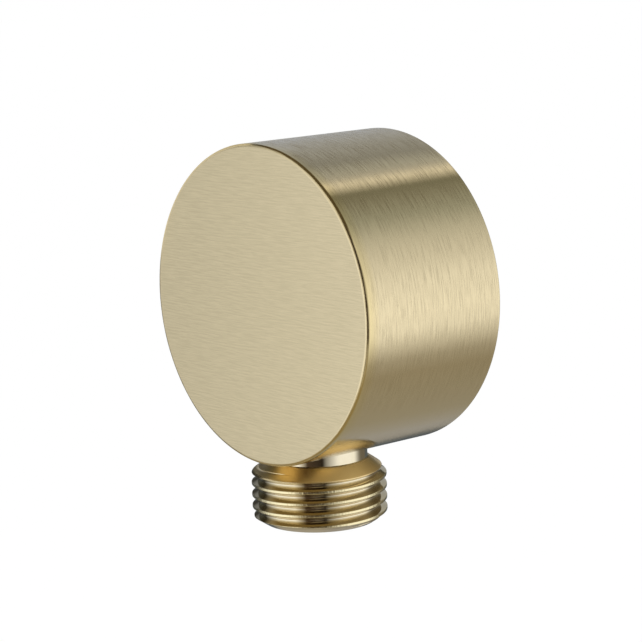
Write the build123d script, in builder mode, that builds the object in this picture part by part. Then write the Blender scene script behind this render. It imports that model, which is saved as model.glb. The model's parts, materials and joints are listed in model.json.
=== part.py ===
"""Wall outlet elbow: a thick round brass body that screws onto the pipe stub in a shower wall
and turns the water down, through a screwed-in nipple, into a shower hose.

Millimetres. The origin is the middle of the wall face on the inlet axis. +Y points into the
wall, +Z is up, the round front face looks along -Y and the outlet points down.
Pipe and nipple threads are plain cylinders at their major diameter, so that a mating part
drawn the same way fits.
"""
import os
from math import pi, sqrt

from build123d import *

# Body
body_diameter = 49.0
body_length = 27.2
front_edge_radius = 0.6
back_edge_chamfer = 0.4

# Back of the body: a narrow rim bears on the wall, with a relief turned inside it
rim_width = 2.5
relief_depth = 2.0
hub_diameter = 30.0
hub_setback = 0.5

# G1/2 pipe thread, inside at the inlet and outside at the outlet
pipe_thread_major = 20.955
inlet_chamfer = 1.2

# Waterway: a bored chamber behind the inlet thread, then a hole down to the outlet port
chamber_diameter = 15.0
chamber_overrun = 5.0
waterway_diameter = 9.5
waterway_land = 0.25

# Outlet port in the body, and the nipple that screws into it
outlet_front_margin = 0.52
neck_diameter = 15.2
neck_clearance = 0.1
port_step_depth = 5.5
port_thread_major = 14.0
port_thread_clearance = 0.05
port_thread_length = 7.0
spigot_end_gap = 0.5
spigot_chamfer = 0.6

# Outside of the nipple, from the body down to its end
outlet_projection = 10.4
neck_drop = 0.45
shoulder_height = 2.05
nipple_end_diameter = 17.4
nipple_end_chamfer = 1.15

# Hexagon socket for the key that tightens the nipple
socket_across_flats = 10.0
socket_depth = 8.0
socket_mouth_diameter = 12.2

# Seal ring round the neck, drawn as it sits squeezed in its groove
seal_cord_diameter = 1.78
seal_squeeze = 0.28
seal_corner = 0.44
seal_side_room = 0.3
seal_groove_land = 0.8

# Places worked out from the sizes
body_radius = body_diameter / 2
pipe_thread_radius = pipe_thread_major / 2
chamber_radius = chamber_diameter / 2
waterway_radius = waterway_diameter / 2
neck_radius = neck_diameter / 2
port_bore_radius = neck_radius + neck_clearance
port_thread_radius = port_thread_major / 2

outlet_y = -(body_length - pipe_thread_radius - outlet_front_margin)
inlet_end_y = outlet_y + waterway_radius + waterway_land
chamber_end_y = outlet_y - chamber_overrun

port_step_z = -(body_radius - port_step_depth)
port_end_z = port_step_z + port_thread_length
spigot_end_z = port_end_z - spigot_end_gap
spigot_radius = port_thread_radius - port_thread_clearance
neck_end_z = -(body_radius + neck_drop)
shoulder_end_z = neck_end_z - shoulder_height
nipple_end_z = -(body_radius + outlet_projection)
nipple_end_radius = nipple_end_diameter / 2
thread_end_z = nipple_end_z + nipple_end_chamfer
socket_radius = socket_across_flats / sqrt(3)
socket_mouth_radius = socket_mouth_diameter / 2
socket_mouth_chamfer = socket_mouth_radius - waterway_radius

# A squeezed cord keeps its area, so what it loses in height it gains in width
seal_height = seal_cord_diameter - seal_squeeze
seal_area = pi * seal_cord_diameter**2 / 4
seal_width = (seal_area + 2 * seal_corner**2) / seal_height
groove_radius = port_bore_radius - seal_height
groove_top_z = port_step_z - seal_groove_land
groove_bottom_z = groove_top_z - seal_width - seal_side_room

outlet_plane = Plane(origin=(0, outlet_y, 0), x_dir=(1, 0, 0), z_dir=(0, -1, 0))
outlet_axis = Axis((0, outlet_y, 0), (0, 0, 1))

os.makedirs("parts", exist_ok=True)

# Body: one turned piece, bored from the back and from below
with BuildPart() as elbow_body:
    with BuildSketch(Plane.XY) as body_section:
        with BuildLine():
            Polyline(
                (0, -body_length),
                (body_radius, -body_length),
                (body_radius, 0),
                (body_radius - rim_width, 0),
                (body_radius - rim_width, -relief_depth),
                (hub_diameter / 2, -relief_depth),
                (hub_diameter / 2, -hub_setback),
                (pipe_thread_radius + inlet_chamfer, -hub_setback),
                (pipe_thread_radius, -hub_setback - inlet_chamfer),
                (pipe_thread_radius, inlet_end_y),
                (chamber_radius, inlet_end_y),
                (chamber_radius, chamber_end_y),
                (0, chamber_end_y),
                close=True,
            )
        make_face()
        fillet(body_section.vertices().group_by(Axis.X)[-1].sort_by(Axis.Y)[0], front_edge_radius)
        chamfer(body_section.vertices().group_by(Axis.X)[-1].sort_by(Axis.Y)[-1], back_edge_chamfer)
    revolve(axis=Axis.Y)

    # Port: a plain bore for the neck, a step to seat it, the screwed length and the waterway
    with BuildSketch(outlet_plane):
        with BuildLine():
            Polyline(
                (0, nipple_end_z),
                (port_bore_radius, nipple_end_z),
                (port_bore_radius, port_step_z),
                (port_thread_radius, port_step_z),
                (port_thread_radius, port_end_z),
                (waterway_radius, port_end_z),
                (waterway_radius, 0),
                (0, 0),
                close=True,
            )
        make_face()
    revolve(axis=outlet_axis, mode=Mode.SUBTRACT)

elbow_body.part.label = "elbow_body"
export_step(elbow_body.part, "parts/elbow_body.step")

# Nipple: turned from bar, with a hexagon socket broached into its lower end
with BuildPart() as outlet_nipple:
    with BuildSketch(outlet_plane):
        with BuildLine():
            Polyline(
                (waterway_radius, spigot_end_z),
                (spigot_radius - spigot_chamfer, spigot_end_z),
                (spigot_radius, spigot_end_z - spigot_chamfer),
                (spigot_radius, port_step_z),
                (neck_radius, port_step_z),
                (neck_radius, groove_top_z),
                (groove_radius, groove_top_z),
                (groove_radius, groove_bottom_z),
                (neck_radius, groove_bottom_z),
                (neck_radius, neck_end_z),
                (pipe_thread_radius, shoulder_end_z),
                (pipe_thread_radius, thread_end_z),
                (nipple_end_radius, nipple_end_z),
                (socket_mouth_radius, nipple_end_z),
                (waterway_radius, nipple_end_z + socket_mouth_chamfer),
                close=True,
            )
        make_face()
    revolve(axis=outlet_axis)
    with BuildSketch(Plane((0, outlet_y, nipple_end_z))):
        RegularPolygon(socket_radius, 6)
    extrude(amount=socket_depth, mode=Mode.SUBTRACT)

outlet_nipple.part.label = "outlet_nipple"
export_step(outlet_nipple.part, "parts/outlet_nipple.step")

# Seal: a rubber ring squeezed between the groove of the neck and the bore of the port
with BuildPart() as nipple_seal:
    with BuildSketch(outlet_plane) as seal_section:
        with Locations((groove_radius + seal_height / 2, (groove_top_z + groove_bottom_z) / 2)):
            Rectangle(seal_height, seal_width)
        chamfer(seal_section.vertices(), seal_corner)
    revolve(axis=outlet_axis)

nipple_seal.part.label = "nipple_seal"
export_step(nipple_seal.part, "parts/nipple_seal.step")

for piece in (elbow_body, outlet_nipple, nipple_seal):
    print(piece.part.label, round(piece.part.volume / 1000, 3), "cm3")
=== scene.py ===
# %% [markdown]
# # A wall outlet elbow in brushed gold
#
# The elbow is a thick round brass body that screws onto a pipe stub in a shower wall, with a polished
# nipple below for the hose. Metal has hardly any colour of its own: it shows the room around it, drawn
# out along the brushing. So most of this lesson is about three things: smooth surfaces with exact
# normals, a finish that knows which way it was brushed, and a studio that is worth mirroring.
#
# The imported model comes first, because every size is read from it.

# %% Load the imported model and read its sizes
import json

import bpy
import numpy as np
from mathutils import Matrix, Vector


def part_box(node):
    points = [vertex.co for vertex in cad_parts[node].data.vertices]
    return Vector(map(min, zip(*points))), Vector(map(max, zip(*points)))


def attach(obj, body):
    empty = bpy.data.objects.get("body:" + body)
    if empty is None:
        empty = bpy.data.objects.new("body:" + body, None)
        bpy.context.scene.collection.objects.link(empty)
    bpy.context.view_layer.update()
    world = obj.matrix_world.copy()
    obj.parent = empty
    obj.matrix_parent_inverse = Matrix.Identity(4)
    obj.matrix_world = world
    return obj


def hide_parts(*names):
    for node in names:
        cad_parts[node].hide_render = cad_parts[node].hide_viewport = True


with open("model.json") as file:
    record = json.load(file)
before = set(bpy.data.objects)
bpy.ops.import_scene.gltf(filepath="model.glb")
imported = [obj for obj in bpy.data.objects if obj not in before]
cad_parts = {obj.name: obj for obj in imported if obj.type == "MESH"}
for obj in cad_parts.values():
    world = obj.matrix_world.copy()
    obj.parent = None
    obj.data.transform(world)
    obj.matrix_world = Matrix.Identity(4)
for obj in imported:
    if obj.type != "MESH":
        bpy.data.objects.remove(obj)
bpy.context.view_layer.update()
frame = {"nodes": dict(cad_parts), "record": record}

# Shapes below are worked out in millimetres and put into the meshes in metres
MM = 0.001
mounts = {mount["name"]: mount for mount in frame["record"]["mounts"]}


def node_box(node):
    """Lowest and highest corner of a node, in millimetres."""
    return [np.array(corner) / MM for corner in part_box(node)]


def span(mount, axis):
    """Where a mount's wall begins and ends along an axis, in millimetres, the lower end first."""
    middle = mounts[mount]["pos_m"][axis] / MM
    half = mounts[mount]["dims"]["length_mm"] / 2
    return middle - half, middle + half


body_low, body_high = node_box("elbow_body")
nipple_low, nipple_high = node_box("outlet_nipple")
seal_low, seal_high = node_box("nipple_seal")

body_radius = body_high[0]
front_y = body_low[1]
thread_radius = mounts["outlet_thread"]["dims"]["r_mm"]
outlet_y = mounts["outlet_thread"]["pos_m"][1] / MM
inlet_end_y, inlet_top_y = span("inlet_thread", 1)
thread_end_z, shoulder_end_z = span("outlet_thread", 2)
nipple_end_z = nipple_low[2]
spigot_end_z = nipple_high[2]
print(f"body {2 * body_radius:.2f} across and {-front_y:.2f} deep, outlet axis at y {outlet_y:.2f}")
print(f"thread radius {thread_radius:.3f}, nipple from z {spigot_end_z:.2f} down to {nipple_end_z:.2f}")

# %% [markdown]
# ## Grids of points round an axis
#
# Every face of this fitting was turned or drilled, so every face is a grid: one parameter runs along a
# profile and the other runs round an axis. There are two axes, the inlet's and the outlet's. A cylinder
# primitive would be quicker, but its facets show as stripes in brushed metal. Here each grid carries its
# exact normals too, so that a few hundred columns mirror the studio like a true round.

# %% Points and normals round the two axes
INLET = {"origin": (0, 0, 0), "start": (0, 0, -1), "side": (-1, 0, 0), "line": (0, 1, 0)}
OUTLET = {"origin": (0, outlet_y, 0), "start": (1, 0, 0), "side": (0, 1, 0), "line": (0, 0, 1)}
COLUMNS = 288
around = np.linspace(0, 2 * np.pi, COLUMNS + 1)


def vectors(axis, radial, turning, along, angle):
    """Vectors from their parts at an angle a round an axis.

    radial * (start cos a + side sin a) + turning * (side cos a - start sin a) + along * line
    """
    start, side, line = (np.array(axis[key], float) for key in ("start", "side", "line"))
    parts = np.broadcast_arrays(radial, turning, along, np.cos(angle), np.sin(angle))
    radial, turning, along, cosine, sine = (part[..., None].astype(float) for part in parts)
    outward = cosine * start + sine * side
    onward = cosine * side - sine * start
    return radial * outward + turning * onward + along * line


def grid(axis, radius, along, angle, normal, brush):
    """One surface: its points, its unit normals, and its places along and across the brushing."""
    radius, along, angle = np.broadcast_arrays(radius, along, angle)
    points = np.array(axis["origin"], float) + vectors(axis, radius, 0, along, angle)
    normals = np.broadcast_to(vectors(axis, *normal, angle), points.shape)
    normals = normals / np.linalg.norm(normals, axis=-1, keepdims=True)
    brush = np.stack(np.broadcast_arrays(*brush, radius)[:2], -1)
    return points, normals, brush


print(f"{COLUMNS} columns are {360 / COLUMNS:.2f} degrees apart")

# %% [markdown]
# ## Welding grids into one piece
#
# The grids meet along shared rims, where their points coincide. Welding them gives one closed mesh, and
# the normals are kept for each face corner, so a sharp edge between two grids stays sharp. Blender could
# weld with Merge by Distance, but numpy's unique does it in one call and keeps the corner normals in step.

# %% Put grids together as a mesh
# Points in one cell of this size, in millimetres, are welded. The offset keeps round sizes off the
# borders between cells
WELD = 0.0004
WELD_OFFSET = 0.317


def put_together(name, surfaces):
    """Welds grids of points into one object.

    Each cell of a grid is a quad, turned to face along its normals. Points on the same spot become one
    vertex. A quad with two corners on one vertex becomes a triangle, and one with fewer goes.
    """
    quads, start = [], 0
    for points, _, _ in surfaces:
        rows, columns = points.shape[:2]
        index = start + np.arange(rows * columns).reshape(rows, columns)
        cells = [index[:-1, :-1], index[1:, :-1], index[1:, 1:], index[:-1, 1:]]
        quads.append(np.stack(cells, -1).reshape(-1, 4))
        start += rows * columns
    quads = np.concatenate(quads)
    points = np.concatenate([s[0].reshape(-1, 3) for s in surfaces])
    normals = np.concatenate([s[1].reshape(-1, 3) for s in surfaces])
    brush = np.concatenate([s[2].reshape(-1, 2) for s in surfaces])

    diagonals = points[quads[:, 2]] - points[quads[:, 0]], points[quads[:, 3]] - points[quads[:, 1]]
    facing = np.einsum("ij,ij->i", np.cross(*diagonals), normals[quads].sum(1))
    quads[facing < 0] = quads[facing < 0][:, ::-1]

    spots = np.floor(points / WELD + WELD_OFFSET)
    _, first, vertex = np.unique(spots, axis=0, return_index=True, return_inverse=True)
    corners = vertex.reshape(-1)[quads]
    kept = corners != np.roll(corners, -1, axis=1)
    kept[kept.sum(1) < 3] = False
    sides = kept.sum(1)
    sides = sides[sides > 0]

    mesh = bpy.data.meshes.new(name)
    mesh.vertices.add(len(first))
    mesh.vertices.foreach_set("co", (points[first] * MM).ravel())
    mesh.loops.add(int(sides.sum()))
    mesh.loops.foreach_set("vertex_index", corners[kept])
    mesh.polygons.add(len(sides))
    mesh.polygons.foreach_set("loop_start", np.concatenate([[0], np.cumsum(sides)[:-1]]))
    mesh.update(calc_edges=True)
    mesh.uv_layers.new(name="brush").uv.foreach_set("vector", brush[quads][kept].ravel())
    mesh.shade_smooth()
    mesh.normals_split_custom_set(normals[quads][kept])

    piece = bpy.data.objects.new(name, mesh)
    bpy.context.scene.collection.objects.link(piece)
    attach(piece, "root")
    triangles = int((sides - 2).sum())
    open_edges = count_open_edges(mesh)
    print(f"{name}: {len(first)} vertices, {triangles} triangles, {open_edges} open edges")
    return piece


def count_open_edges(mesh):
    """How many edges don't have exactly two faces."""
    edge_of_corner = np.empty(len(mesh.loops), np.int32)
    mesh.loops.foreach_get("edge_index", edge_of_corner)
    return int((np.bincount(edge_of_corner, minlength=len(mesh.edges)) != 2).sum())


# %% [markdown]
# ## Turned profiles with broken edges
#
# No machined edge is perfectly sharp: the tool or a cloth wheel rounds it by a tenth of a millimetre, and
# that thin round is what catches the light. A Bevel modifier could add it, but it would also cut into the
# threads. Here the profile itself has an arc at each corner before it is carried round its axis.

# %% A profile with rounded corners, and the lathe that carries it round
EDGE_BREAK = 0.12


def rounded(corners, radius=EDGE_BREAK, steps=4):
    """A profile with its inner corners rounded, and the outward direction at each of its points.

    The arc at a corner starts radius * tan(turn / 2) before it. With bearing b along the arc, its points
    are start + bend * (sin b - sin b0, cos b0 - cos b). Outward is to the right of the way along.
    """
    corners = np.array(corners, float)
    runs = np.diff(corners, axis=0)
    heading = np.arctan2(runs[:, 1], runs[:, 0])
    turn = (np.diff(heading) + np.pi) % (2 * np.pi) - np.pi
    radius = np.broadcast_to(np.asarray(radius, float), turn.shape)
    reach = radius * np.tan(np.abs(turn) / 2)
    before = np.stack([np.cos(heading[:-1]), np.sin(heading[:-1])], -1)
    start = corners[1:-1] - reach[:, None] * before
    bearing = heading[:-1, None] + turn[:, None] * np.linspace(0, 1, steps + 1)
    sweep = [np.sin(bearing) - np.sin(bearing[:, :1]), np.cos(bearing[:, :1]) - np.cos(bearing)]
    bend = (radius * np.sign(turn))[:, None, None]
    arcs = start[:, None] + bend * np.stack(sweep, -1)
    points = np.concatenate([corners[:1], arcs.reshape(-1, 2), corners[-1:]])
    bearings = np.concatenate([heading[:1], bearing.ravel(), heading[-1:]])
    return points, np.stack([np.sin(bearings), -np.cos(bearings)], -1)


def lathe(axis, profile, angle=around):
    """A profile of (radius, height) carried round an axis. The brushing runs round it."""
    points, outward = profile
    steps = np.hypot(*np.diff(points, axis=0).T)
    across = np.concatenate([[0], np.cumsum(steps)])[:, None]
    normal = outward[:, :1], 0, outward[:, 1:]
    brush = angle[None] * points[:, 0].max(), across
    return grid(axis, points[:, :1], points[:, 1:], angle[None], normal, brush)


def straight(*corners):
    """A profile of one straight run, with no rounding."""
    return rounded(corners)


corner_points, _ = rounded([(0, 0), (1, 0), (1, 1)])
print(f"a right-angled corner becomes an arc of {len(corner_points) - 2} points")


# %% [markdown]
# ## The pipe thread
#
# Inlet and outlet have the same half-inch pipe thread: 14 threads to the inch, with flanks at 55 degrees.
# The textbook form has round crests, but a fitting is threaded after it is turned, so its crests keep a
# narrow flat of the old surface. One could sweep a profile along a helix with a Screw modifier. A radius
# as a function of angle and height is simpler here, because the shoulder, the end chamfer and the run-out
# are then just limits on that radius. The rows of the grid climb with the thread, so that no crest is
# cut into steps.

# %% The thread's form, and rows that climb with it
PITCH = 25.4 / 14
CREST_FLAT = 0.42
ROOT_FLAT = 0.24
CORNER = 0.07
FLANK_SLOPE = 1 / np.tan(np.radians(27.5))
FLANK_RUN = (PITCH - CREST_FLAT - ROOT_FLAT) / 2
THREAD_DEPTH = FLANK_RUN * FLANK_SLOPE

# Steps for the slope of a radius: an angle in radians and a height in millimetres
SMALL_TURN = 0.004
SMALL_RISE = 0.012


def depth_below_crest(offset):
    """Depth of the thread below its crest at an axial offset from the crest's middle.

    The sharp form is a flat crest, a straight flank and a flat root. Its corners are rounded by a running
    mean over twice CORNER: (area(x + CORNER) - area(x - CORNER)) / (2 CORNER).
    """
    offset = np.abs((offset / PITCH + 0.5) % 1 - 0.5) * PITCH

    def area(end):
        """Area under the sharp form from the crest's middle to an end."""
        past_flat = np.maximum(end - CREST_FLAT / 2, 0)
        on_flank = np.minimum(past_flat, FLANK_RUN)
        return FLANK_SLOPE * on_flank**2 / 2 + THREAD_DEPTH * (past_flat - on_flank)

    return (area(offset + CORNER) - area(offset - CORNER)) / (2 * CORNER)


def thread_surface(axis, radius_at, low, high, inward, rows_a_pitch):
    """A threaded wall between two heights, where radius_at(angle, height) gives its radius r.

    Row i at angle a lies at low + PITCH * (i / rows_a_pitch + a / turn - 1), kept between low and high.
    Its normal is (1, -r_a / r, -r_h) in radial, turning and axial parts, turned round for an inside wall.
    """
    rows = int(np.ceil((high - low) / PITCH * rows_a_pitch)) + rows_a_pitch
    climb = np.arange(rows + 1)[:, None] / rows_a_pitch + around / (2 * np.pi) - 1
    height = np.clip(low + PITCH * climb, low, high)
    angle = np.broadcast_to(around, height.shape)
    radius = radius_at(angle, height)
    by_angle = radius_at(angle + SMALL_TURN, height) - radius_at(angle - SMALL_TURN, height)
    by_angle = by_angle / (2 * SMALL_TURN)
    by_height = radius_at(angle, height + SMALL_RISE) - radius_at(angle, height - SMALL_RISE)
    by_height = by_height / (2 * SMALL_RISE)
    sign = -1 if inward else 1
    normal = sign * np.ones_like(radius), -sign * by_angle / radius, -sign * by_height
    return grid(axis, radius, height, angle, normal, (angle * thread_radius, height))


print(f"thread pitch {PITCH:.3f}, depth {depth_below_crest(PITCH / 2):.3f}, as the form's {THREAD_DEPTH:.3f}")

# %% [markdown]
# ## The body: face, edge and back
#
# The body is turned from bar. Its face is brushed straight across, and its side is brushed round, so the
# face gets its own places along and across the brushing: simply x and z. The front edge is a larger
# round than the others, because it is polished by hand where the two brushings meet. At the back a
# narrow rim bears on the wall, with a relief turned inside it and a hub round the inlet.

# %% Sizes of the body's edges and back
FRONT_ROUND = 0.6
BACK_CHAMFER = 0.4
RIM_WIDTH = 2.5
RELIEF_DEPTH = 2.0
HUB_RADIUS = 15.0
HUB_SETBACK = 0.5
INLET_CHAMFER = 1.2
back_y = 0.0

# %% Surfaces of the face, the front edge and the back
face_points, face_normals, _ = lathe(INLET, straight((0, front_y), (body_radius - FRONT_ROUND, front_y)))
face = face_points, face_normals, face_points[..., [0, 2]]

front_corner = [(0, front_y), (body_radius, front_y), (body_radius, back_y)]
edge_points, edge_outward = rounded(front_corner, FRONT_ROUND, steps=14)
front_edge = lathe(INLET, (edge_points[1:-1], edge_outward[1:-1]))

side_low = front_y + FRONT_ROUND
chamfer_turn = np.radians(45)
side_high = back_y - BACK_CHAMFER - EDGE_BREAK * np.tan(chamfer_turn / 2)
rim_radius = body_radius - RIM_WIDTH
back = lathe(
    INLET,
    rounded(
        [
            (body_radius, side_high),
            (body_radius, back_y - BACK_CHAMFER),
            (body_radius - BACK_CHAMFER, back_y),
            (rim_radius, back_y),
            (rim_radius, back_y - RELIEF_DEPTH),
            (HUB_RADIUS, back_y - RELIEF_DEPTH),
            (HUB_RADIUS, back_y - HUB_SETBACK),
            (thread_radius + INLET_CHAMFER, back_y - HUB_SETBACK),
            (thread_radius, inlet_top_y),
        ]
    ),
)
print(f"side wall from y {side_low:.2f} to {side_high:.2f}, back with {back[0].shape[0]} rows")

# %% [markdown]
# ## A round wall with a hole in it
#
# The port for the nipple is drilled into the round side, and the waterway is drilled into the round
# chamber inside. Both are the same surface: a cylinder with a round hole from below. A Boolean would do,
# but it leaves long thin triangles that spoil a brushed reflection. Instead a window of the wall is
# spanned by a grid that runs from the hole's rim to the window's frame, and the rest is a plain grid.

# %% The wall with a hole
WINDOW_RINGS = 14


def wall_with_hole(radius, low, high, hole_radius, half_window, rows, inward):
    """A cylinder about the inlet axis with a hole of the outlet axis through its underside.

    A point of the window's frame is joined to the rim point in the same direction from the hole's middle,
    in the unrolled wall. Rim point t lies at x = hole_radius cos t, so at angle -asin(x / radius).
    Returns the two grids and the rim's angles t.
    """
    heights = np.linspace(low, high, rows + 1)
    frame_angle = around[half_window]
    bottom = np.linspace(-frame_angle, frame_angle, 2 * half_window + 1)
    side = np.full(rows, frame_angle)
    angle_out = np.concatenate([bottom, side, bottom[::-1][1:], -side])
    height_out = np.concatenate(
        [np.full(len(bottom), low), heights[1:], np.full(len(bottom) - 1, high), heights[::-1][1:]]
    )
    rim = np.unwrap(np.arctan2(height_out - outlet_y, -radius * angle_out))
    angle_in = -np.arcsin(hole_radius * np.cos(rim) / radius)
    height_in = outlet_y + hole_radius * np.sin(rim)
    share = np.linspace(0, 1, WINDOW_RINGS + 1)[:, None]
    angle = angle_in + share * (angle_out - angle_in)
    height = height_in + share * (height_out - height_in)
    normal = (-1 if inward else 1), 0, 0
    window = grid(INLET, radius, height, angle, normal, (angle * radius, height))
    plain = around[None, half_window : COLUMNS - half_window + 1]
    rest = grid(INLET, radius, heights[:, None], plain, normal, (plain * radius, heights[:, None]))
    return [window, rest], rim


PORT_RADIUS = 7.7
WATERWAY_RADIUS = 4.75
CHAMBER_RADIUS = 7.5
CHAMBER_OVERRUN = 5.0
SIDE_ROWS, CHAMBER_ROWS = 36, 12
SIDE_WINDOW, CHAMBER_WINDOW = COLUMNS // 8, COLUMNS // 6

chamber_end_y = outlet_y - CHAMBER_OVERRUN
side_wall, port_rim = wall_with_hole(
    body_radius, side_low, side_high, PORT_RADIUS, SIDE_WINDOW, SIDE_ROWS, inward=False
)
chamber_wall, waterway_rim = wall_with_hole(
    CHAMBER_RADIUS, chamber_end_y, inlet_end_y, WATERWAY_RADIUS, CHAMBER_WINDOW, CHAMBER_ROWS, inward=True
)
print(f"port rim of {len(port_rim)} points, waterway rim of {len(waterway_rim)}")

# %% [markdown]
# ## Inlet thread, chamber and port
#
# Inside, the thread's ridges stand in from the bore. The chamfer at the mouth cuts the first ridge to a
# slope, and a plain relief at the bottom lets the tap run out. Below the chamber the port steps out
# twice: a screwed length, and a wider bore that takes the neck of the nipple.

# %% Surfaces inside the body
THREAD_RELIEF = 1.5
PORT_SCREW_RADIUS = 7.0
PORT_STEP_Z = -19.0
PORT_END_Z = -12.0
CHAMFER_SLOPE = 1.0


def inlet_radius(angle, height):
    """Radius of the inlet: ridges to the thread's depth, limited by the mouth's slope and the relief."""
    turns = (height - inlet_end_y) / PITCH - angle / (2 * np.pi)
    ridge = THREAD_DEPTH - depth_below_crest(turns * PITCH)
    from_mouth = np.maximum(inlet_top_y - height, 0) * CHAMFER_SLOPE
    from_relief = np.maximum(height - inlet_end_y - THREAD_RELIEF, 0) * CHAMFER_SLOPE
    return thread_radius - np.minimum(ridge, np.minimum(from_mouth, from_relief))


inlet_thread = thread_surface(INLET, inlet_radius, inlet_end_y, inlet_top_y, inward=True, rows_a_pitch=20)
chamber_step = lathe(INLET, straight((thread_radius, inlet_end_y), (CHAMBER_RADIUS, inlet_end_y)))
chamber_end = lathe(INLET, straight((CHAMBER_RADIUS, chamber_end_y), (0, chamber_end_y)))


def drilled(radii, heights, angles, normal):
    """A wall or a step of the port: two rings about the outlet axis, with their radii, heights and angles."""
    radius = np.array(radii, float)[:, None]
    height = np.stack(heights)
    angle = np.stack(angles)
    return grid(OUTLET, radius, height, angle, normal, (angle * radius, height))


def level(height):
    """A ring of one height."""
    return np.full(len(port_rim), height)


def saddle(radius, hole_radius, rim):
    """Height of a hole's rim on the underside of a round wall: z = -sqrt(radius^2 - x^2)."""
    return -np.sqrt(radius**2 - (hole_radius * np.cos(rim)) ** 2)


TO_THE_AXIS = (-1, 0, 0)
DOWN = (0, 0, -1)
port_mouth = saddle(body_radius, PORT_RADIUS, port_rim)
waterway_mouth = saddle(CHAMBER_RADIUS, WATERWAY_RADIUS, waterway_rim)
port_walls = [
    drilled([PORT_RADIUS] * 2, [port_mouth, level(PORT_STEP_Z)], [port_rim] * 2, TO_THE_AXIS),
    drilled([PORT_RADIUS, PORT_SCREW_RADIUS], [level(PORT_STEP_Z)] * 2, [port_rim] * 2, DOWN),
    drilled([PORT_SCREW_RADIUS] * 2, [level(PORT_STEP_Z), level(PORT_END_Z)], [port_rim] * 2, TO_THE_AXIS),
    drilled([PORT_SCREW_RADIUS, WATERWAY_RADIUS], [level(PORT_END_Z)] * 2, [port_rim, waterway_rim], DOWN),
    drilled([WATERWAY_RADIUS] * 2, [level(PORT_END_Z), waterway_mouth], [waterway_rim] * 2, TO_THE_AXIS),
]
print(f"inlet thread of {inlet_thread[0].shape[0]} rows, port of {len(port_walls)} walls and steps")

# %% The body as one piece
body_surfaces = [face, front_edge, *side_wall, back, inlet_thread, chamber_step, *chamber_wall, chamber_end]
body = put_together("brushed_body", body_surfaces + port_walls)
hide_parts("elbow_body")

# %% [markdown]
# ## The nipple
#
# The nipple is turned, threaded and polished before it is screwed in. A short neck shows below the body,
# then a cone, then the thread, which ends in a chamfer. The edge between cone and thread is rounded, and
# the thread's last groove climbs a little way up the cone, where the cutting tool was drawn out. Inside,
# a hexagon socket takes the key. All of the outside is one radius as a function of angle and height. It
# could also be cut from a cylinder with Booleans, but those would leave the edges sharp.

# %% The outside of the nipple
NECK_RADIUS = 7.6
NECK_DROP = 0.45
NIPPLE_END_RADIUS = 8.7
CREST_HEIGHT = -29.9
RUN_OUT_START = np.radians(-175)
RUN_OUT_END = np.radians(-68)
RUN_OUT_HEIGHT = -26.1
RUN_OUT_HALF = 0.17
RUN_OUT_SLOPE = 1.5
RUN_OUT_OPENING = 1 / 8
CONE_BREAK = 0.4

neck_end_z = -body_radius - NECK_DROP
cone_slope = (thread_radius - NECK_RADIUS) / (neck_end_z - shoulder_end_z)
end_slope = (thread_radius - NIPPLE_END_RADIUS) / (thread_end_z - nipple_end_z)


def rounded_minimum(first, second, width):
    """The lower of two values, with the corner between them rounded off.

    min(first, second) - max(width - |first - second|, 0)^2 / (4 width)
    """
    close = np.maximum(width - np.abs(first - second), 0)
    return np.minimum(first, second) - close**2 / (4 * width)


def nipple_radius(angle, height):
    """Radius of the nipple: the lowest of the cone, the thread, the end chamfer and the run-out groove."""
    cone = NECK_RADIUS + cone_slope * np.maximum(neck_end_z - height, 0)
    chamfer = NIPPLE_END_RADIUS + end_slope * np.maximum(height - nipple_end_z, 0)
    turns = (height - CREST_HEIGHT) / PITCH - angle / (2 * np.pi)
    thread = thread_radius - depth_below_crest(turns * PITCH)
    return np.minimum(rounded_minimum(cone - run_out(angle, height), thread, CONE_BREAK), chamfer)


def run_out(angle, height):
    """How deep the last groove bites into the cone, where the cutting tool was drawn out.

    A V that climbs with the thread: it opens to RUN_OUT_HALF to each side and narrows until its end.
    """
    angle = (angle + np.pi) % (2 * np.pi) - np.pi
    along = np.clip((angle - RUN_OUT_START) / (RUN_OUT_END - RUN_OUT_START), 0, 1)
    middle = RUN_OUT_HEIGHT + PITCH * (angle + np.pi / 2) / (2 * np.pi)
    half = RUN_OUT_HALF * np.minimum(along / RUN_OUT_OPENING, 1) * np.sqrt(1 - along)
    return RUN_OUT_SLOPE * np.maximum(half - np.abs(height - middle), 0)


nipple_outside = thread_surface(
    OUTLET, nipple_radius, nipple_end_z, neck_end_z, inward=False, rows_a_pitch=32
)
cone_angle = np.degrees(np.arctan(cone_slope))
print(f"nipple outside of {nipple_outside[0].shape[0]} rows, cone at {cone_angle:.0f} degrees to its axis")

# %% Neck, spigot and bore of the nipple
SPIGOT_RADIUS = 6.95
SPIGOT_CHAMFER = 0.6
GROOVE_RADIUS = 6.2
GROOVE_ROOM = 0.15
SOCKET_FLAT = 5.0
SOCKET_DEPTH = 8.0
SOCKET_MOUTH = 6.1
FINE_BREAK = 0.05

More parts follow.
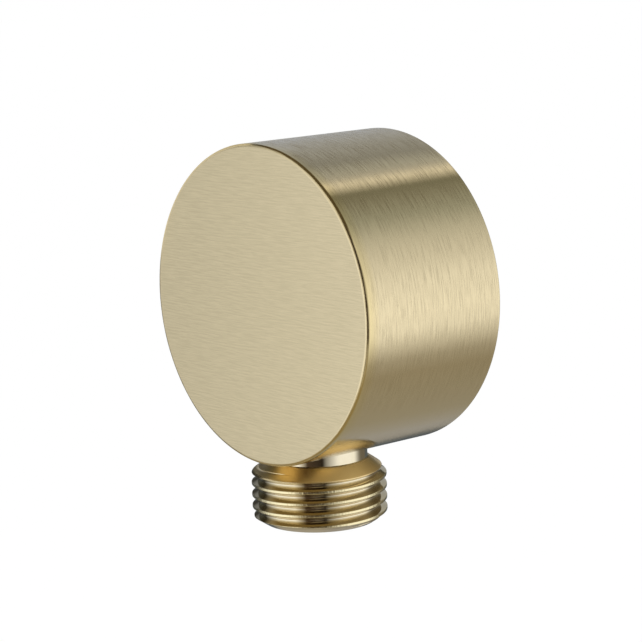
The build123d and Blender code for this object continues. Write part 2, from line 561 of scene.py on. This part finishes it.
groove_top_z = seal_high[2] + GROOVE_ROOM
groove_bottom_z = seal_low[2] - GROOVE_ROOM
socket_end_z = nipple_end_z + SOCKET_DEPTH
nipple_top = lathe(
    OUTLET,
    rounded(
        [
            (NECK_RADIUS, neck_end_z),
            (NECK_RADIUS, groove_bottom_z),
            (GROOVE_RADIUS, groove_bottom_z),
            (GROOVE_RADIUS, groove_top_z),
            (NECK_RADIUS, groove_top_z),
            (NECK_RADIUS, PORT_STEP_Z),
            (SPIGOT_RADIUS, PORT_STEP_Z),
            (SPIGOT_RADIUS, spigot_end_z - SPIGOT_CHAMFER),
            (SPIGOT_RADIUS - SPIGOT_CHAMFER, spigot_end_z),
            (WATERWAY_RADIUS, spigot_end_z),
            (WATERWAY_RADIUS, socket_end_z),
        ],
        FINE_BREAK,
    ),
)
print(f"seal groove {groove_top_z - groove_bottom_z:.2f} wide, bore down to z {socket_end_z:.2f}")

# %% Hexagon socket, its mouth and the end face
HEX_SIDES = 6
flat_columns = COLUMNS // HEX_SIDES


def socket_side(number):
    """One sixth of the socket: its ledge, its flat and its share of the mouth's cone.

    On the flat, r = SOCKET_FLAT / cos(angle from the flat's middle). The cone meets it where the cone's
    radius, SOCKET_MOUTH - (z - end), is r.
    """
    angle = around[None, number * flat_columns : (number + 1) * flat_columns + 1]
    from_middle = angle - (number + 0.5) * 2 * np.pi / HEX_SIDES
    flat = SOCKET_FLAT / np.cos(from_middle)
    top = np.full_like(flat, socket_end_z)
    mouth = nipple_end_z + SOCKET_MOUTH - flat
    end = np.full_like(flat, nipple_end_z)
    bore = np.full_like(flat, WATERWAY_RADIUS)
    rim = np.full_like(flat, SOCKET_MOUTH)

    def strip(radii, heights, normal):
        """A grid between two lines of radii and heights."""
        radius = np.concatenate(radii)
        height = np.concatenate(heights)
        return grid(OUTLET, radius, height, angle, normal, (angle * radius, height))

    to_the_flat = -np.cos(from_middle), np.sin(from_middle), 0
    return [
        strip([bore, flat], [top, top], DOWN),
        strip([flat, flat], [top, mouth], to_the_flat),
        strip([flat, rim], [mouth, end], (-1, 0, -1)),
    ]


socket = [strip for number in range(HEX_SIDES) for strip in socket_side(number)]
end_face = lathe(OUTLET, straight((SOCKET_MOUTH, nipple_end_z), (NIPPLE_END_RADIUS, nipple_end_z)))
print(f"socket {2 * SOCKET_FLAT:.0f} across flats and {SOCKET_DEPTH:.0f} deep")

# %% The nipple as one piece
nipple = put_together("threaded_nipple", [nipple_outside, nipple_top, *socket, end_face])
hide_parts("outlet_nipple")

# %% [markdown]
# ## Finishes
#
# Brushed plating is a mirror scored by fine parallel lines. Along a line it still mirrors sharply, and
# across the lines it spreads light widely. The shader has a socket for that, Anisotropic, and it needs
# to know the direction, which the map named brush holds: u runs along the lines and v across them, both
# in millimetres. A noise stretched along u then gives the single lines. An image of scratches would do
# the same, but it would stop at its own resolution.
#
# First come a few short functions. Each adds nodes to a material's tree and returns the socket that
# carries the result, so that a finish reads almost like a formula.

# %% Functions that add nodes
def add(tree, kind, values=None, **settings):
    """A node with its settings and its socket values."""
    node = tree.nodes.new("ShaderNode" + kind)
    for key, value in settings.items():
        setattr(node, key, value)
    for socket, value in (values or {}).items():
        node.inputs[socket].default_value = value
    return node


def give(tree, socket, value):
    """Links a socket to another one, or sets it to a number or a colour."""
    if isinstance(value, bpy.types.NodeSocket):
        tree.links.new(value, socket)
    elif isinstance(value, tuple):
        socket.default_value = (*value, 1)
    else:
        socket.default_value = value


def mixed(tree, first, second, factor, kind="FLOAT", blend="MIX"):
    """A value or colour that goes over to a second one by a factor."""
    node = add(tree, "Mix", data_type=kind, blend_type=blend)
    give(tree, node.inputs["A"], first)
    give(tree, node.inputs["B"], second)
    give(tree, node.inputs["Factor"], factor)
    return node.outputs["Result"]


def arithmetic(tree, operation, first, second, clamped=False):
    """An operation on two values."""
    node = add(tree, "Math", operation=operation, use_clamp=clamped)
    give(tree, node.inputs[0], first)
    give(tree, node.inputs[1], second)
    return node.outputs[0]


def product(tree, *factors):
    """The product of two or more values."""
    result = factors[0]
    for factor in factors[1:]:
        result = arithmetic(tree, "MULTIPLY", result, factor)
    return result


def between(tree, factor, low, high, start=0.3, end=0.7):
    """A factor from start to end spread over the values low to high. Most of a noise is 0.3 to 0.7."""
    node = add(tree, "MapRange", {"From Min": start, "From Max": end, "To Min": low, "To Max": high})
    tree.links.new(factor, node.inputs["Value"])
    return node.outputs["Result"]


# %% Functions for places and directions
def object_place(tree):
    """Where a point lies on its object, in metres."""
    return add(tree, "TexCoord").outputs["Object"]


def components(tree, vector):
    """The X, Y and Z of a vector."""
    node = add(tree, "SeparateXYZ")
    tree.links.new(vector, node.inputs["Vector"])
    return node.outputs


def with_vector(tree, operation, vector, other=(0, 0, 0)):
    """An operation on a vector and a constant one: the node's outputs, Vector and Value."""
    node = add(tree, "VectorMath", {1: other}, operation=operation)
    tree.links.new(vector, node.inputs[0])
    return node.outputs


def streaks(tree, along, across, detail, offset=0.0):
    """Noise drawn out along the brushing: so many features a millimetre along it and across it."""
    place = add(tree, "UVMap", uv_map="brush")
    stretch = add(tree, "Mapping", {"Scale": (along, across, 1), "Location": (offset, offset, 0)})
    noise = add(tree, "TexNoise", {"Scale": 1.0, "Detail": detail, "Roughness": 0.6})
    tree.links.new(place.outputs["UV"], stretch.inputs["Vector"])
    tree.links.new(stretch.outputs["Vector"], noise.inputs["Vector"])
    return noise.outputs["Fac"]


def new_material(name):
    """A material, its tree of nodes and its shader."""
    material = bpy.data.materials.new(name)
    material.use_nodes = True
    return material, material.node_tree, material.node_tree.nodes["Principled BSDF"]


def bump(tree, shader, height, distance):
    """A bump of that height in metres on a shader."""
    node = add(tree, "Bump", {"Strength": 1.0, "Distance": distance})
    tree.links.new(height, node.inputs["Height"])
    tree.links.new(node.outputs["Normal"], shader.inputs["Normal"])


# %% [markdown]
# ### Brushed gold
#
# The lines of the brushing differ a little in colour and more in roughness, so that the round side glints
# in fine dashes, and a bump of a few thousandths of a millimetre lifts them. The finish also changes from
# place to place, as it does on a piece brushed by hand. The underside near the nipple is smoother than
# the rest of the side. The front edge is satin at the left and smooth at the right, and just behind it a
# painted warm reflection makes the gold a little deeper. Vertex colours could say where, but a place on
# the object is enough here.

# %% Brushed gold
# Places are in millimetres, lines are counted by the millimetre, and heights of bumps are in metres
GOLD_LINES = (0.640, 0.548, 0.351), (0.720, 0.616, 0.399)
# Painted reflection: a warm tint multiplied into the gold on the side just behind the front edge
PAINTED_EDGE_REFLECTION = (1.0, 0.97, 0.8)
FACE_DEPTH = 0.2
EDGE_GLOW = 2.5
LINES_ALONG = 0.25
FACE_LINES_ACROSS = 4.2
SIDE_LINES_ACROSS = 5.0
SIDE_LINES_OFFSET = 41.0
LINE_RANGE = 0.35, 0.65
SIDE_FADING = 0.75
FACE_ROUGHNESS = 0.15, 0.19
SIDE_ROUGHNESS = 0.09, 0.3
UNDERSIDE_ROUGHNESS = 0.08
UNDERSIDE_Z = -22.0, -12.0
EDGE_ROUGHNESS = 0.45, 0.13
EDGE_X = -4.0, 2.0
LINE_HEIGHT = 0.000008


def brushed_gold():
    """Pale gold plating with fine lines along the brushing, and a painted warm reflection that deepens the
    gold towards the front edge.
    """
    material, tree, shader = new_material("brushed_gold_plating")
    parts = components(tree, object_place(tree))

    def by_place(axis, low, high, start, end):
        """A value that goes from low to high between two places along an axis, in millimetres."""
        return between(tree, parts[axis], low, high, start * MM, end * MM)

    def by_depth(low, high, start, end):
        """A value that goes from low to high between two depths behind the face, in millimetres."""
        return by_place("Y", low, high, front_y + start, front_y + end)

    def line_pattern(across, offset):
        """Lines of the brushing from 0 to 1, so many a millimetre across it."""
        noise = streaks(tree, LINES_ALONG, across, detail=2.0, offset=offset)
        return between(tree, noise, 0.0, 1.0, *LINE_RANGE)

    off_face = by_depth(0.0, 1.0, 0.0, FACE_DEPTH)
    face_lines = line_pattern(FACE_LINES_ACROSS, 0.0)
    lines = mixed(tree, face_lines, line_pattern(SIDE_LINES_ACROSS, SIDE_LINES_OFFSET), off_face)
    fainter = mixed(tree, lines, 0.5, by_depth(0.0, SIDE_FADING, 0.0, FACE_DEPTH))
    plain = mixed(tree, *GOLD_LINES, fainter, "RGBA")
    # Where the painted warm reflection lies: on the side next to the face, fading out by EDGE_GLOW behind it
    glow = product(tree, by_depth(1.0, 0.0, FACE_DEPTH, EDGE_GLOW), off_face)
    give(tree, shader.inputs["Base Color"], mixed(tree, plain, PAINTED_EDGE_REFLECTION, glow, "RGBA", "MULTIPLY"))

    on_face = between(tree, lines, *FACE_ROUGHNESS, 0.0, 1.0)
    underside = by_place("Z", 1.0, 0.0, *UNDERSIDE_Z)
    on_side = mixed(tree, between(tree, lines, *SIDE_ROUGHNESS, 0.0, 1.0), UNDERSIDE_ROUGHNESS, underside)
    brushed = mixed(tree, on_face, on_side, off_face)
    edge = product(tree, by_depth(1.0, 0.0, FRONT_ROUND, 2 * FRONT_ROUND), off_face)
    on_edge = by_place("X", *EDGE_ROUGHNESS, *EDGE_X)
    give(tree, shader.inputs["Roughness"], mixed(tree, brushed, on_edge, edge))
    bump(tree, shader, face_lines, LINE_HEIGHT)
    direction = add(tree, "Tangent", direction_type="UV_MAP", uv_map="brush")
    give(tree, shader.inputs["Tangent"], direction.outputs["Tangent"])
    shader.inputs["Metallic"].default_value = 1.0
    shader.inputs["Anisotropic"].default_value = 1.0
    shader.inputs["Anisotropic Rotation"].default_value = 0.25
    return material


# %% [markdown]
# ### Polished gold and rubber
#
# A thread is hard to polish: the cone is satin, and the crests are rougher, with small burrs that glint.
# The roots and the neck keep a pale shine. Light and shade are also painted into the colour here: painted
# shade darkens the flanks, painted light lightens the cone for the light it gets by way of the body's
# underside, and a painted highlight lightens the crests. The distance from the nipple's axis tells crest,
# flank and root apart, and the height tells where the cone is. Four materials on four sets of faces would
# do as well, but their borders would be hard.

# %% Polished gold
PALE_TONES = (0.69, 0.62, 0.46), (0.72, 0.65, 0.495)
# Painted light and shade by zone: painted shade darkens the flanks, painted light lightens the cone, and a
# painted highlight lightens the crests
FLANK_PAINTED_SHADE = (0.63, 0.54, 0.35)
CONE_PAINTED_LIGHT = (0.98, 0.80, 0.46)
CREST_PAINTED_HIGHLIGHT = (0.80, 0.71, 0.45)
CREST_BAND = 0.09, 0.03
FLANK_BAND = 0.95, 0.7
CONE_FADE_BELOW = 0.3
CONE_FADE_ABOVE = 0.2
HAZE_A_MILLIMETRE = 0.6, 0.6
POLISH_ROUGHNESS = 0.06, 0.1
CONE_ROUGHNESS = 0.3
CREST_ROUGHNESS = 0.16
BURRS_A_MILLIMETRE = 3.5, 1.0
BURR_HEIGHT = 0.00005


def polished_gold():
    """Gold plating over a turned and polished nipple, with rougher crests that glint here and there, painted
    shade on the flanks and painted light on the cone and the crests.
    """
    material, tree, shader = new_material("polished_gold_plating")
    place = object_place(tree)
    height = components(tree, place)["Z"]
    from_axis = with_vector(tree, "ADD", place, (0, -outlet_y * MM, 0))["Vector"]
    level_part = with_vector(tree, "MULTIPLY", from_axis, (1, 1, 0))["Vector"]
    outward = with_vector(tree, "LENGTH", level_part)["Value"]

    def near_crest(start, end):
        """0 at one depth below the thread's crests and 1 at a smaller one, in millimetres."""
        return between(tree, outward, 0.0, 1.0, (thread_radius - start) * MM, (thread_radius - end) * MM)

    crest = near_crest(*CREST_BAND)
    flank = near_crest(*FLANK_BAND)
    cone_low, cone_high = shoulder_end_z, neck_end_z
    above_thread = between(tree, height, 0.0, 1.0, cone_low * MM, (cone_low + CONE_FADE_BELOW) * MM)
    below_neck = between(tree, height, 1.0, 0.0, (cone_high - CONE_FADE_ABOVE) * MM, cone_high * MM)
    on_cone = product(tree, above_thread, below_neck)

    haze = streaks(tree, *HAZE_A_MILLIMETRE, detail=4.0, offset=13.0)
    tone = mixed(tree, *PALE_TONES, between(tree, haze, 0.0, 1.0), "RGBA")
    # Painted shade on the flanks, painted light on the cone, and a painted highlight on the crests
    for mask, tint in ((flank, FLANK_PAINTED_SHADE), (on_cone, CONE_PAINTED_LIGHT), (crest, CREST_PAINTED_HIGHLIGHT)):
        tone = mixed(tree, tone, tint, mask, "RGBA")
    give(tree, shader.inputs["Base Color"], tone)
    rough = mixed(tree, between(tree, haze, *POLISH_ROUGHNESS), CONE_ROUGHNESS, on_cone)
    give(tree, shader.inputs["Roughness"], mixed(tree, rough, CREST_ROUGHNESS, crest))

    burrs = streaks(tree, *BURRS_A_MILLIMETRE, detail=2.0, offset=7.0)
    bump(tree, shader, product(tree, burrs, crest), BURR_HEIGHT)
    shader.inputs["Metallic"].default_value = 1.0
    return material


# %% Rubber, and the finishes put on
RUBBER_TONES = (0.012, 0.012, 0.013), (0.028, 0.028, 0.03)
RUBBER_ROUGHNESS = 0.55, 0.75
GRAINS_A_METRE = 6000.0
GRAIN_HEIGHT = 0.00002


def seal_rubber():
    """Black moulded rubber with a fine matt grain."""
    material, tree, shader = new_material("matt_rubber")
    noise = add(tree, "TexNoise", {"Scale": GRAINS_A_METRE, "Detail": 3.0})
    give(tree, noise.inputs["Vector"], object_place(tree))
    grain = noise.outputs["Fac"]
    tone = mixed(tree, *RUBBER_TONES, between(tree, grain, 0.0, 1.0), "RGBA")
    give(tree, shader.inputs["Base Color"], tone)
    give(tree, shader.inputs["Roughness"], between(tree, grain, *RUBBER_ROUGHNESS))
    bump(tree, shader, grain, GRAIN_HEIGHT)
    return material


body.data.materials.append(brushed_gold())
nipple.data.materials.append(polished_gold())
seal = frame["nodes"]["nipple_seal"]
seal.data.materials.clear()
seal.data.materials.append(seal_rubber())
print("finishes:", [piece.data.materials[0].name for piece in (body, nipple, seal)])

# %% [markdown]
# ## Camera
#
# The photograph was taken from the right and a little above. Its camera was found by fitting the outline
# of the face, the lines of the side and the nipple's end, which gives the viewing angle, the distance and
# the lens together. Lining it up by eye over the photograph would leave the lens a guess.

# %% The camera
IMAGE_PIXELS = 642
FOCAL_PIXELS = 2423.757
CAMERA_AZIMUTH = np.radians(49.03)
CAMERA_ELEVATION = np.radians(10.054)
CAMERA_ROLL = np.radians(-1.929)
CAMERA_DISTANCE = 372.605
CAMERA_RIGHT = -0.726
CAMERA_UP = -4.068
SENSOR = 36.0
NEAREST, FARTHEST = 0.01, 10.0

level_right = np.array([np.cos(CAMERA_AZIMUTH), np.sin(CAMERA_AZIMUTH), 0.0])
level_back = np.array([np.sin(CAMERA_AZIMUTH), -np.cos(CAMERA_AZIMUTH), 0.0])
camera_back = np.cos(CAMERA_ELEVATION) * level_back + np.array([0.0, 0.0, np.sin(CAMERA_ELEVATION)])
level_up = np.cross(camera_back, level_right)
right = np.cos(CAMERA_ROLL) * level_right + np.sin(CAMERA_ROLL) * level_up
up = np.cos(CAMERA_ROLL) * level_up - np.sin(CAMERA_ROLL) * level_right
body_middle = np.array([0.0, front_y / 2, 0.0])
camera_place = body_middle + right * CAMERA_RIGHT + up * CAMERA_UP + camera_back * CAMERA_DISTANCE

camera_data = bpy.data.cameras.new("camera")
camera_data.sensor_width = SENSOR
camera_data.lens = SENSOR * FOCAL_PIXELS / IMAGE_PIXELS
camera_data.clip_start = NEAREST
camera_data.clip_end = FARTHEST
camera = bpy.data.objects.new("camera", camera_data)
bpy.context.scene.collection.objects.link(camera)
turned = Matrix([[right[i], up[i], camera_back[i]] for i in range(3)]).to_4x4()
camera.matrix_world = Matrix.Translation(camera_place * MM) @ turned
bpy.context.scene.camera = camera
bpy.context.scene.view_settings.view_transform = "Standard"
print(f"camera at {np.round(camera_place, 1)} mm with a lens of {camera_data.lens:.1f} mm")

# %% [markdown]
# ## Studio
#
# A photographer builds a small room round shiny metal, because the metal shows nothing else. In front of
# the fitting hang two large white cloths, one at the left and one at the right, a little darker towards
# the top. Between them stands the dark camera, and that gap draws the dark line along the front edge and
# down the neck and the thread. The ceiling is dark, the table is brown, and the far left is nearly black.
#
# The room is a sphere that only mirror rays can see, and its light is a function of direction. Separate
# area lamps would also do, but then each cloth's soft border would need a lamp of its own.
#
# The white round the fitting comes from the floor and the world. A Light Path node makes both white for
# the camera, while as light they stay at a plain level.

# %% Functions for the studio
WHITE = (1, 1, 1, 1)
HIDDEN_RAYS = ("camera", "diffuse", "shadow", "transmission", "volume_scatter")


def linked_mesh(name, points, faces):
    """An object made of points in metres and faces, linked to the scene."""
    mesh = bpy.data.meshes.new(name)
    mesh.from_pydata(points.tolist(), [], faces)
    thing = bpy.data.objects.new(name, mesh)
    bpy.context.scene.collection.objects.link(thing)
    return thing


def only_mirrored(thing):
    """Hides a thing from every ray but those that come off a mirror."""
    for rays in HIDDEN_RAYS:
        setattr(thing, "visible_" + rays, False)


def light_material(name):
    """A material without its usual shader, for a thing that only gives light, and its tree of nodes."""
    material, tree, shader = new_material(name)
    tree.nodes.remove(shader)
    return material, tree


def mixed_shaders(tree, factor, first, second):
    """A shader that goes over to another one by a factor."""
    node = add(tree, "MixShader")
    tree.links.new(factor, node.inputs["Fac"])
    tree.links.new(first.outputs[0], node.inputs[1])
    tree.links.new(second.outputs[0], node.inputs[2])
    return node


def show(tree, shader, output="Material Output"):
    """Sends a shader to the output of its tree."""
    tree.links.new(shader.outputs[0], tree.nodes[output].inputs["Surface"])


def seen_directly(tree):
    """1 for rays from the camera, from a mirror or through glass, and 0 for the rest."""
    path = add(tree, "LightPath").outputs
    camera_or_mirror = arithmetic(tree, "ADD", path["Is Camera Ray"], path["Is Glossy Ray"])
    return arithmetic(tree, "ADD", camera_or_mirror, path["Is Transmission Ray"], clamped=True)


# %% The floor
FLOOR_DROP = 0.4
FLOOR_HALF = 20.0
FLOOR_COLOUR = (0.9, 0.9, 0.9)
FLOOR_ROUGHNESS = 0.9
FLOOR_GLOW = 1.03
FLOOR_GLOW_SHARE = 0.9

floor_sides = np.array([(-1, -1), (1, -1), (1, 1), (-1, 1)]) * FLOOR_HALF
floor_z = nipple_end_z * MM - FLOOR_DROP
floor = linked_mesh("floor", np.column_stack([floor_sides, np.full(4, floor_z)]), [(0, 1, 2, 3)])
floor_material, floor_tree, floor_shader = new_material("pale_floor")
give(floor_tree, floor_shader.inputs["Base Color"], FLOOR_COLOUR)
give(floor_tree, floor_shader.inputs["Roughness"], FLOOR_ROUGHNESS)
floor_glow = add(floor_tree, "Emission", {"Color": WHITE, "Strength": FLOOR_GLOW})
floor_share = product(floor_tree, seen_directly(floor_tree), FLOOR_GLOW_SHARE)
show(floor_tree, mixed_shaders(floor_tree, floor_share, floor_shader, floor_glow))
floor.data.materials.append(floor_material)
floor.visible_glossy = False
print(f"floor {2 * FLOOR_HALF:.0f} m wide, {FLOOR_DROP} m below the nipple")

# %% The world
WORLD_LIGHT = 0.8

world = bpy.data.worlds.new("studio_world")
bpy.context.scene.world = world
world.use_nodes = True
world_tree = world.node_tree
ambient = world_tree.nodes["Background"]
ambient.inputs["Color"].default_value = WHITE
ambient.inputs["Strength"].default_value = WORLD_LIGHT
backing = add(world_tree, "Background", {"Color": WHITE, "Strength": 1.0})
world_shader = mixed_shaders(world_tree, seen_directly(world_tree), ambient, backing)
show(world_tree, world_shader, "World Output")
print(f"world of {WORLD_LIGHT} as light")

# %% The room's shape
ROOM_RADIUS = 1.2
ROOM_ROWS, ROOM_COLUMNS = 48, 96
NEAR_POLE = 1.56


def sphere(radius, rows, columns):
    """Points and faces of a sphere: point (a, b) lies at radius (cos b cos a, cos b sin a, sin b)."""
    turns = np.linspace(0, 2 * np.pi, columns + 1)[:-1]
    turn, rise = np.meshgrid(turns, np.linspace(-NEAR_POLE, NEAR_POLE, rows))
    parts = [np.cos(rise) * np.cos(turn), np.cos(rise) * np.sin(turn), np.sin(rise)]
    points = radius * np.stack(parts, -1)
    index = np.arange(rows * columns).reshape(rows, columns)
    onward = np.roll(index, -1, axis=1)
    quads = np.stack([index[:-1], index[1:], onward[1:], onward[:-1]], -1).reshape(-1, 4)
    return points.reshape(-1, 3), quads.tolist()


room = linked_mesh("studio_room", *sphere(ROOM_RADIUS, ROOM_ROWS, ROOM_COLUMNS))
only_mirrored(room)
print(f"room of {len(room.data.polygons)} faces, {2 * ROOM_RADIUS} m across")

# %% [markdown]
# ## What the room shows
#
# Each part of the metal mirrors another part of the room. The flat face shows the left cloth, and the
# round side shows what is behind the fitting, one strip of it for each angle round the inlet's axis. So
# the light behind is given by that angle, and the light in front by the azimuth. Soft patches are then
# laid over both. One could paint such a room by hand, but a list of levels is easier to tune.

# %% Levels of light
# Light behind the fitting, by the angle round the inlet axis at which the side mirrors it to the camera:
# 0 is the right side of the body, and 90 is its top
RING = [
    (-180, (0.03, 0.03, 0.028)),
    (-115, (0.05, 0.05, 0.045)),
    (-80, (0.42, 0.39, 0.33)),
    (-69.5, (0.44, 0.41, 0.35)),
    (-66.5, (0.45, 0.42, 0.36)),
    (-63, (0.39, 0.37, 0.34)),
    (-53, (0.42, 0.42, 0.43)),
    (-42, (0.40, 0.38, 0.33)),
    (-30, (0.42, 0.39, 0.33)),
    (-21, (0.42, 0.38, 0.31)),
    (-15, (0.54, 0.51, 0.46)),
    (-5, (1.25, 1.25, 1.25)),
    (2, (1.32, 1.32, 1.32)),
    (12, (1.18, 1.18, 1.18)),
    (24, (0.83, 0.83, 0.81)),
    (36, (0.47, 0.49, 0.45)),
    (44.5, (0.32, 0.32, 0.27)),
    (48, (0.24, 0.24, 0.19)),
    (52.6, (1.08, 1.03, 0.94)),
    (55.5, (0.62, 0.62, 0.62)),
    (58.5, (0.54, 0.56, 0.57)),
    (64.5, (0.36, 0.375, 0.40)),
    (72, (0.42, 0.44, 0.48)),
    (82, (0.48, 0.51, 0.58)),
    (100, (0.50, 0.54, 0.62)),
    (115, (0.05, 0.05, 0.045)),
    (180, (0.03, 0.03, 0.028)),
]

# Light in front of it, by the azimuth: 0 is straight ahead, 90 is the right, and the camera is at 49
FRONT = [
    (-180, (0.03, 0.03, 0.028)),
    (-76, (0.06, 0.06, 0.055)),
    (-38, (1.21, 1.23, 1.26)),
    (0, (1.33, 1.33, 1.33)),
    (12, (0.62, 0.58, 0.52)),
    (22, (0.09, 0.06, 0.04)),
    (58, (0.03, 0.022, 0.016)),
    (67, (0.40, 0.39, 0.37)),
    (88, (1.0, 1.0, 1.0)),
    (110, (1.35, 1.35, 1.35)),
]
UPPER_SHADE = (0.78, 0.77, 0.75)
LOW_CARD = (0.55, 0.51, 0.43)
DARK_BROWN = (0.11, 0.085, 0.045)
TABLE = (0.36, 0.29, 0.16)
BACKDROP = (0.18, 0.16, 0.125)
SLATE = (0.105, 0.12, 0.13)

# Soft patches: the direction of the middle, and the cosines to it where a patch begins and where it is full
TOWARDS_TOP = (0, 0, 1), 0.02, 0.25
CEILING = (0, 0, 1), 0.6, 0.8
BELOW = (0, 0, -1), 0.42, 0.6
BEHIND = (0, 0.95, -0.3), -0.02, 0.28
STRAIGHT_BEHIND = (0, 0.99, -0.12), 0.75, 0.98
LOW_BEHIND = [((-0.75, 0.6, -0.3), 0.7, 0.86), ((0, 0, -1), -0.06, 0.08), ((0, 0, 1), -0.57, -0.49)]
LOW_IN_FRONT = (0.6, -0.6, -0.53), 0.96, 0.985
print(f"{len(RING)} levels behind the fitting and {len(FRONT)} in front of it")


# %% The room's light
def room_material():
    """The light of the room by direction."""
    material, tree = light_material("room_light")
    direction = with_vector(tree, "NORMALIZE", object_place(tree))["Vector"]
    parts = components(tree, direction)
    half_way = components(tree, with_vector(tree, "ADD", direction, tuple(camera_back))["Vector"])

    def by_angle(rise, run, stops):
        """Light from a list of angles in degrees and colours, read at atan2(rise, run)."""
        angle = arithmetic(tree, "ARCTAN2", rise, run)
        ramp = add(tree, "ValToRGB")
        marks = ramp.color_ramp.elements
        while len(marks) < len(stops):
            marks.new(0.5)
        for mark, (degrees, level_of_light) in zip(marks, stops):
            mark.position = degrees / 360 + 0.5
            mark.color = (*level_of_light, 1)
        give(tree, ramp.inputs["Fac"], between(tree, angle, 0.0, 1.0, -np.pi, np.pi))
        return ramp.outputs["Color"]

    def patch(middle, start, end):
        """A soft patch: 0 where the cosine to its middle is start, 1 where it is end."""
        cosine = with_vector(tree, "DOT_PRODUCT", direction, middle)["Value"]
        fade = add(tree, "MapRange", {"From Min": start, "From Max": end}, interpolation_type="SMOOTHSTEP")
        give(tree, fade.inputs["Value"], cosine)
        return fade.outputs["Result"]

    def over(below, above, mask, blend="MIX"):
        """One light laid over another by a mask."""
        return mixed(tree, below, above, mask, "RGBA", blend)

    light = by_angle(parts["X"], product(tree, parts["Y"], -1.0), FRONT)
    light = over(light, UPPER_SHADE, patch(*TOWARDS_TOP), "MULTIPLY")
    light = over(light, DARK_BROWN, patch(*CEILING))
    light = over(light, TABLE, patch(*BELOW))
    light = over(light, by_angle(half_way["Z"], half_way["X"], RING), patch(*BEHIND))
    light = over(light, BACKDROP, patch(*STRAIGHT_BEHIND))
    light = over(light, SLATE, product(tree, *[patch(*limits) for limits in LOW_BEHIND]))
    light = over(light, LOW_CARD, patch(*LOW_IN_FRONT))
    glow = add(tree, "Emission")
    give(tree, glow.inputs["Color"], light)
    show(tree, glow)
    return material


room.data.materials.append(room_material())

# %% [markdown]
# ## A card and a lamp
#
# The left edge of the face is light, and the left ends of the thread below it are dark. Both mirror much
# the same direction, so the light of the far room can't tell them apart. A card close to the body can,
# because it stands beside the one and above the other. It fades out towards its border, so that its
# outline doesn't show. The lamp only helps what isn't metal.

# %% A small card beside the body
CARD_X = -50.0
CARD_DEPTH = (-50.0, -6.0)
CARD_HEIGHT = (0.0, 65.0)
CARD_BORDER = 5.0
CARD_LIGHT = (0.95, 0.92, 0.86)


def card_material():
    """A light that fades out towards the card's border."""
    material, tree = light_material("card_light")
    parts = components(tree, object_place(tree))
    fades = []
    for axis, (start, end) in (("Y", CARD_DEPTH), ("Z", CARD_HEIGHT)):
        for border, inward in ((start, CARD_BORDER), (end, -CARD_BORDER)):
            fades.append(between(tree, parts[axis], 0.0, 1.0, border * MM, (border + inward) * MM))
    glow = add(tree, "Emission", {"Color": (*CARD_LIGHT, 1)})
    show(tree, mixed_shaders(tree, product(tree, *fades), add(tree, "BsdfTransparent"), glow))
    return material


(near, far), (low, high) = CARD_DEPTH, CARD_HEIGHT
card_sides = np.array([(near, low), (far, low), (far, high), (near, high)])
card_corners = np.column_stack([np.full(4, CARD_X), card_sides])
card = linked_mesh("side_card", card_corners * MM, [(0, 1, 2, 3)])
card.data.materials.append(card_material())
only_mirrored(card)
print(f"card {np.ptp(CARD_DEPTH):.0f} mm deep and {np.ptp(CARD_HEIGHT):.0f} mm high")

# %% A soft lamp
LAMP_PLACE = Vector((-0.3, -0.5, 0.8))
LAMP_SIZE = 0.6
LAMP_WATTS = 4.0

lamp_data = bpy.data.lights.new("soft_lamp", "AREA")
lamp_data.size = LAMP_SIZE
lamp_data.energy = LAMP_WATTS
lamp = bpy.data.objects.new("soft_lamp", lamp_data)
bpy.context.scene.collection.objects.link(lamp)
lamp.location = LAMP_PLACE
lamp.rotation_euler = (-LAMP_PLACE).to_track_quat("-Z", "Y").to_euler()
lamp.visible_glossy = False
print(f"lamp {LAMP_PLACE.length:.2f} m away")
